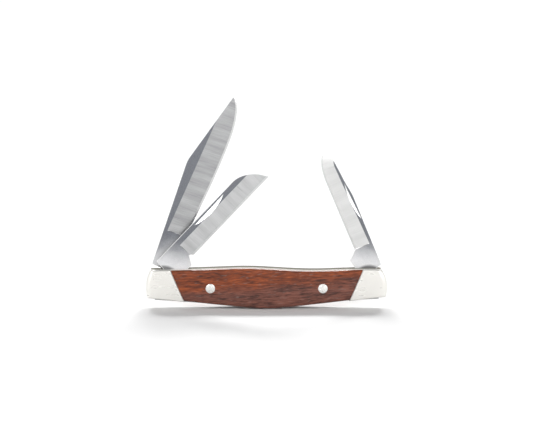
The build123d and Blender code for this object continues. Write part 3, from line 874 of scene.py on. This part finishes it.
for word, shape in (("clip", clipBlade), ("sheepsfoot", sheepsfootBlade), ("spey", speyBlade)):
    piece = buildBlade(word + "Blade", word + "_blade", joints[word + "_pivot"], shape, groundSteels[word])
    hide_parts(word + "_blade")
    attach(piece, word)
    print("stage:", word, "blade built,", len(piece.data.polygons), "faces")


# one turned profile, set at both rivets' places
rivetShape = {
    "shank": 0.7, "head": 1.6, "seat": 0.6, "rim": 0.12, "roll": 0.16, "crown": 0.18, "segments": 64,
}


def makeRivets():
    low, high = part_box("left_rivet")
    reach = high.y / mm
    seat, shoulder = reach - rivetShape["crown"] - rivetShape["seat"], reach - rivetShape["crown"]
    headRadius, shank, rim = rivetShape["head"], rivetShape["shank"], rivetShape["rim"]
    wall, inside = shoulder - 0.05, headRadius - rivetShape["roll"]
    half = [(shank, 0), (shank, seat), (headRadius, seat), (headRadius, wall)]
    for turn in np.linspace(0, math.pi / 2, 9)[1:]:  # a small rolled rim, then a low dome
        half.append((headRadius - rivetShape["roll"] * (1 - math.cos(turn)), wall + rim * math.sin(turn)))
    dome = rivetShape["crown"] - rim + 0.05
    half += [(r * inside, wall + rim + dome * (1 - r * r)) for r in (0.85, 0.7, 0.5, 0.3, 0.15, 0.0)]
    profile = [(r, -y) for r, y in half[::-1]] + half[1:]
    mesh = bpy.data.meshes.new("rivets")
    mesh.from_pydata([(0, y * mm, 0) for r, y in profile], [(i, i + 1) for i in range(len(profile) - 1)], [])
    turned = mesh.attributes.new("turnedRadius", "FLOAT", "POINT")
    turned.data.foreach_set("value", [max(r, 1e-4) * mm for r, y in profile])
    piece = bpy.data.objects.new("rivets", mesh)
    bpy.context.scene.collection.objects.link(piece)
    tree = bpy.data.node_groups.new("rivetSetter", "GeometryNodeTree")
    tree.interface.new_socket("Geometry", in_out="INPUT", socket_type="NodeSocketGeometry")
    spacing = tree.interface.new_socket("Half Spacing", in_out="INPUT", socket_type="NodeSocketFloat")
    heightSocket = tree.interface.new_socket("Height", in_out="INPUT", socket_type="NodeSocketFloat")
    segments = tree.interface.new_socket("Segments", in_out="INPUT", socket_type="NodeSocketInt")
    tree.interface.new_socket("Geometry", in_out="OUTPUT", socket_type="NodeSocketGeometry")
    nodes, links = tree.nodes, tree.links
    source, target = nodes.new("NodeGroupInput"), nodes.new("NodeGroupOutput")
    toCurve = nodes.new("GeometryNodeMeshToCurve")
    radius = nodes.new("GeometryNodeInputNamedAttribute")
    radius.data_type = "FLOAT"
    radius.inputs["Name"].default_value = "turnedRadius"
    circle = nodes.new("GeometryNodeCurvePrimitiveCircle")
    circle.inputs["Radius"].default_value = 1.0
    sweep = nodes.new("GeometryNodeCurveToMesh")
    sweep.inputs["Fill Caps"].default_value = True
    line = nodes.new("GeometryNodeMeshLine")
    line.mode = "END_POINTS"
    line.inputs["Count"].default_value = 2
    start, end = nodes.new("ShaderNodeCombineXYZ"), nodes.new("ShaderNodeCombineXYZ")
    minus = nodes.new("ShaderNodeMath")
    minus.operation = "MULTIPLY"
    minus.inputs[1].default_value = -1.0
    place = nodes.new("GeometryNodeInstanceOnPoints")
    realize = nodes.new("GeometryNodeRealizeInstances")
    smooth = nodes.new("GeometryNodeSetShadeSmooth")
    finish = nodes.new("GeometryNodeSetMaterial")
    finish.inputs["Material"].default_value = rivetMetal
    links.new(source.outputs["Geometry"], toCurve.inputs[0])
    links.new(toCurve.outputs[0], sweep.inputs["Curve"])
    links.new(radius.outputs["Attribute"], sweep.inputs["Scale"])
    links.new(source.outputs["Segments"], circle.inputs["Resolution"])
    links.new(circle.outputs[0], sweep.inputs["Profile Curve"])
    links.new(source.outputs["Half Spacing"], minus.inputs[0])
    links.new(minus.outputs[0], start.inputs["X"])
    links.new(source.outputs["Half Spacing"], end.inputs["X"])
    for corner in (start, end):
        links.new(source.outputs["Height"], corner.inputs["Z"])
    links.new(start.outputs[0], line.inputs["Start Location"])
    links.new(end.outputs[0], line.inputs["Offset"])
    links.new(line.outputs[0], place.inputs["Points"])
    links.new(sweep.outputs[0], place.inputs["Instance"])
    links.new(place.outputs[0], smooth.inputs[0])
    links.new(smooth.outputs[0], realize.inputs[0])
    links.new(realize.outputs[0], finish.inputs["Geometry"])
    links.new(finish.outputs[0], target.inputs[0])
    modifier = piece.modifiers.new("rivetSetter", "NODES")
    modifier.node_group = tree
    modifier[spacing.identifier] = abs(low.x + high.x) / 2
    modifier[heightSocket.identifier] = (low.z + high.z) / 2
    modifier[segments.identifier] = rivetShape["segments"]
    evaluated = piece.evaluated_get(bpy.context.evaluated_depsgraph_get())
    plain = bpy.data.meshes.new_from_object(evaluated)
    piece.modifiers.clear()
    piece.data = plain
    cleanShell(piece)
    plain.set_sharp_from_angle(angle=math.radians(40))
    if not plain.materials:
        plain.materials.append(rivetMetal)
    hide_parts("left_rivet", "right_rivet")
    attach(piece, "handle")
    print("stage: rivets set,", len(plain.polygons), "faces")


makeRivets()


# the liners, springs and pins keep their own shape
for node, material in {
    "front_liner": frontLinerPaintedLight, "front_centre_liner": linerPaintedShade, "rear_centre_liner": linerPaintedShade,
    "rear_liner": linerPaintedShade, "clip_spring": springSteel, "sheepsfoot_spring": springSteel,
    "spey_spring": springSteel, "left_pivot_pin": nickelSilver, "right_pivot_pin": nickelSilver,
}.items():
    data = frame["nodes"][node].data
    data.materials.clear()
    data.materials.append(material)


# floor, sky, lights and camera
view = {"elevation": 4.2, "distance": 0.78, "width": 0.1815, "centre": (0.0003, 0.0, 0.0319)}
floorLook = {"size": 8.0, "tones": (0.93, 0.95)}
softboxes = {
    "back": {"side": 0, "turn": 11, "elevation": 31, "softness": 18, "strength": 2.3},
    "front": {"side": 180, "turn": 24, "elevation": 22, "softness": 28, "strength": 1.3},
}
skyLook = {"horizon": 1.04, "front": 0.10, "back": 0.14, "bandLow": 0.07, "bandHigh": 0.22}


def makeFloor():
    material, nodes, links, shader = newMaterial("paleFloor")
    soft = noise(nodes, links, objectCoords(nodes, links), 3.0, 2)
    low, high = floorLook["tones"]
    links.new(ramp(nodes, links, soft, [(0.3, low), (0.7, high)]), shader.inputs["Base Color"])
    shader.inputs["Roughness"].default_value = 0.9
    shader.inputs["Specular IOR Level"].default_value = 0.0
    turns = np.linspace(0, 2 * math.pi, 64, endpoint=False)
    verts = [(floorLook["size"] * math.cos(t), floorLook["size"] * math.sin(t), 0) for t in turns]
    finishMesh("paleFloor", verts, [tuple(range(64))], [material])


def makeSky():  # a white horizon all round, dimmer overhead and dimmest above the viewer
    sky = bpy.data.worlds.new("studio")
    bpy.context.scene.world = sky
    sky.use_nodes = True
    nodes, links = sky.node_tree.nodes, sky.node_tree.links
    split = nodes.new("ShaderNodeSeparateXYZ")
    links.new(nodes.new("ShaderNodeTexCoord").outputs["Generated"], split.inputs["Vector"])
    depth = math2(nodes, links, "ADD", math2(nodes, links, "MULTIPLY", split.outputs["Y"], 0.5), 0.5)
    overhead = ramp(nodes, links, depth, [(0.2, skyLook["front"]), (0.8, skyLook["back"])])
    band = ramp(nodes, links, split.outputs["Z"], [(skyLook["bandLow"], 1.0), (skyLook["bandHigh"], 0.0)])
    colour = mixColour(nodes, links, band, overhead, (skyLook["horizon"],) * 3)
    links.new(colour, nodes["Background"].inputs["Color"])


makeFloor()
makeSky()
for box in (softboxes["back"], softboxes["front"]):
    for turn in (-box["turn"], box["turn"]):
        lamp = bpy.data.lights.new(f"softbox{box['side'] + turn}", "SUN")
        lamp.energy = box["strength"]
        lamp.angle = math.radians(box["softness"])
        lampObject = bpy.data.objects.new(lamp.name, lamp)
        tip = -math.radians(90 - box["elevation"])
        lampObject.rotation_euler = (tip, 0, math.radians(box["side"] + turn))
        bpy.context.scene.collection.objects.link(lampObject)

camera = bpy.data.cameras.new("camera")
camera.sensor_width = 36
camera.lens = 36 * view["distance"] / view["width"]
camera.clip_end = 10
cameraObject = bpy.data.objects.new("camera", camera)
rise = math.radians(view["elevation"])
centre = Vector(view["centre"])
cameraObject.location = centre + view["distance"] * Vector((0, -math.cos(rise), math.sin(rise)))
cameraObject.rotation_euler = (math.pi / 2 - rise, 0, 0)
bpy.context.scene.collection.objects.link(cameraObject)
bpy.context.scene.camera = cameraObject
bpy.context.scene.view_settings.view_transform = "Standard"
bpy.context.scene.view_settings.look = "None"
print("stage: floor, lights and camera placed")
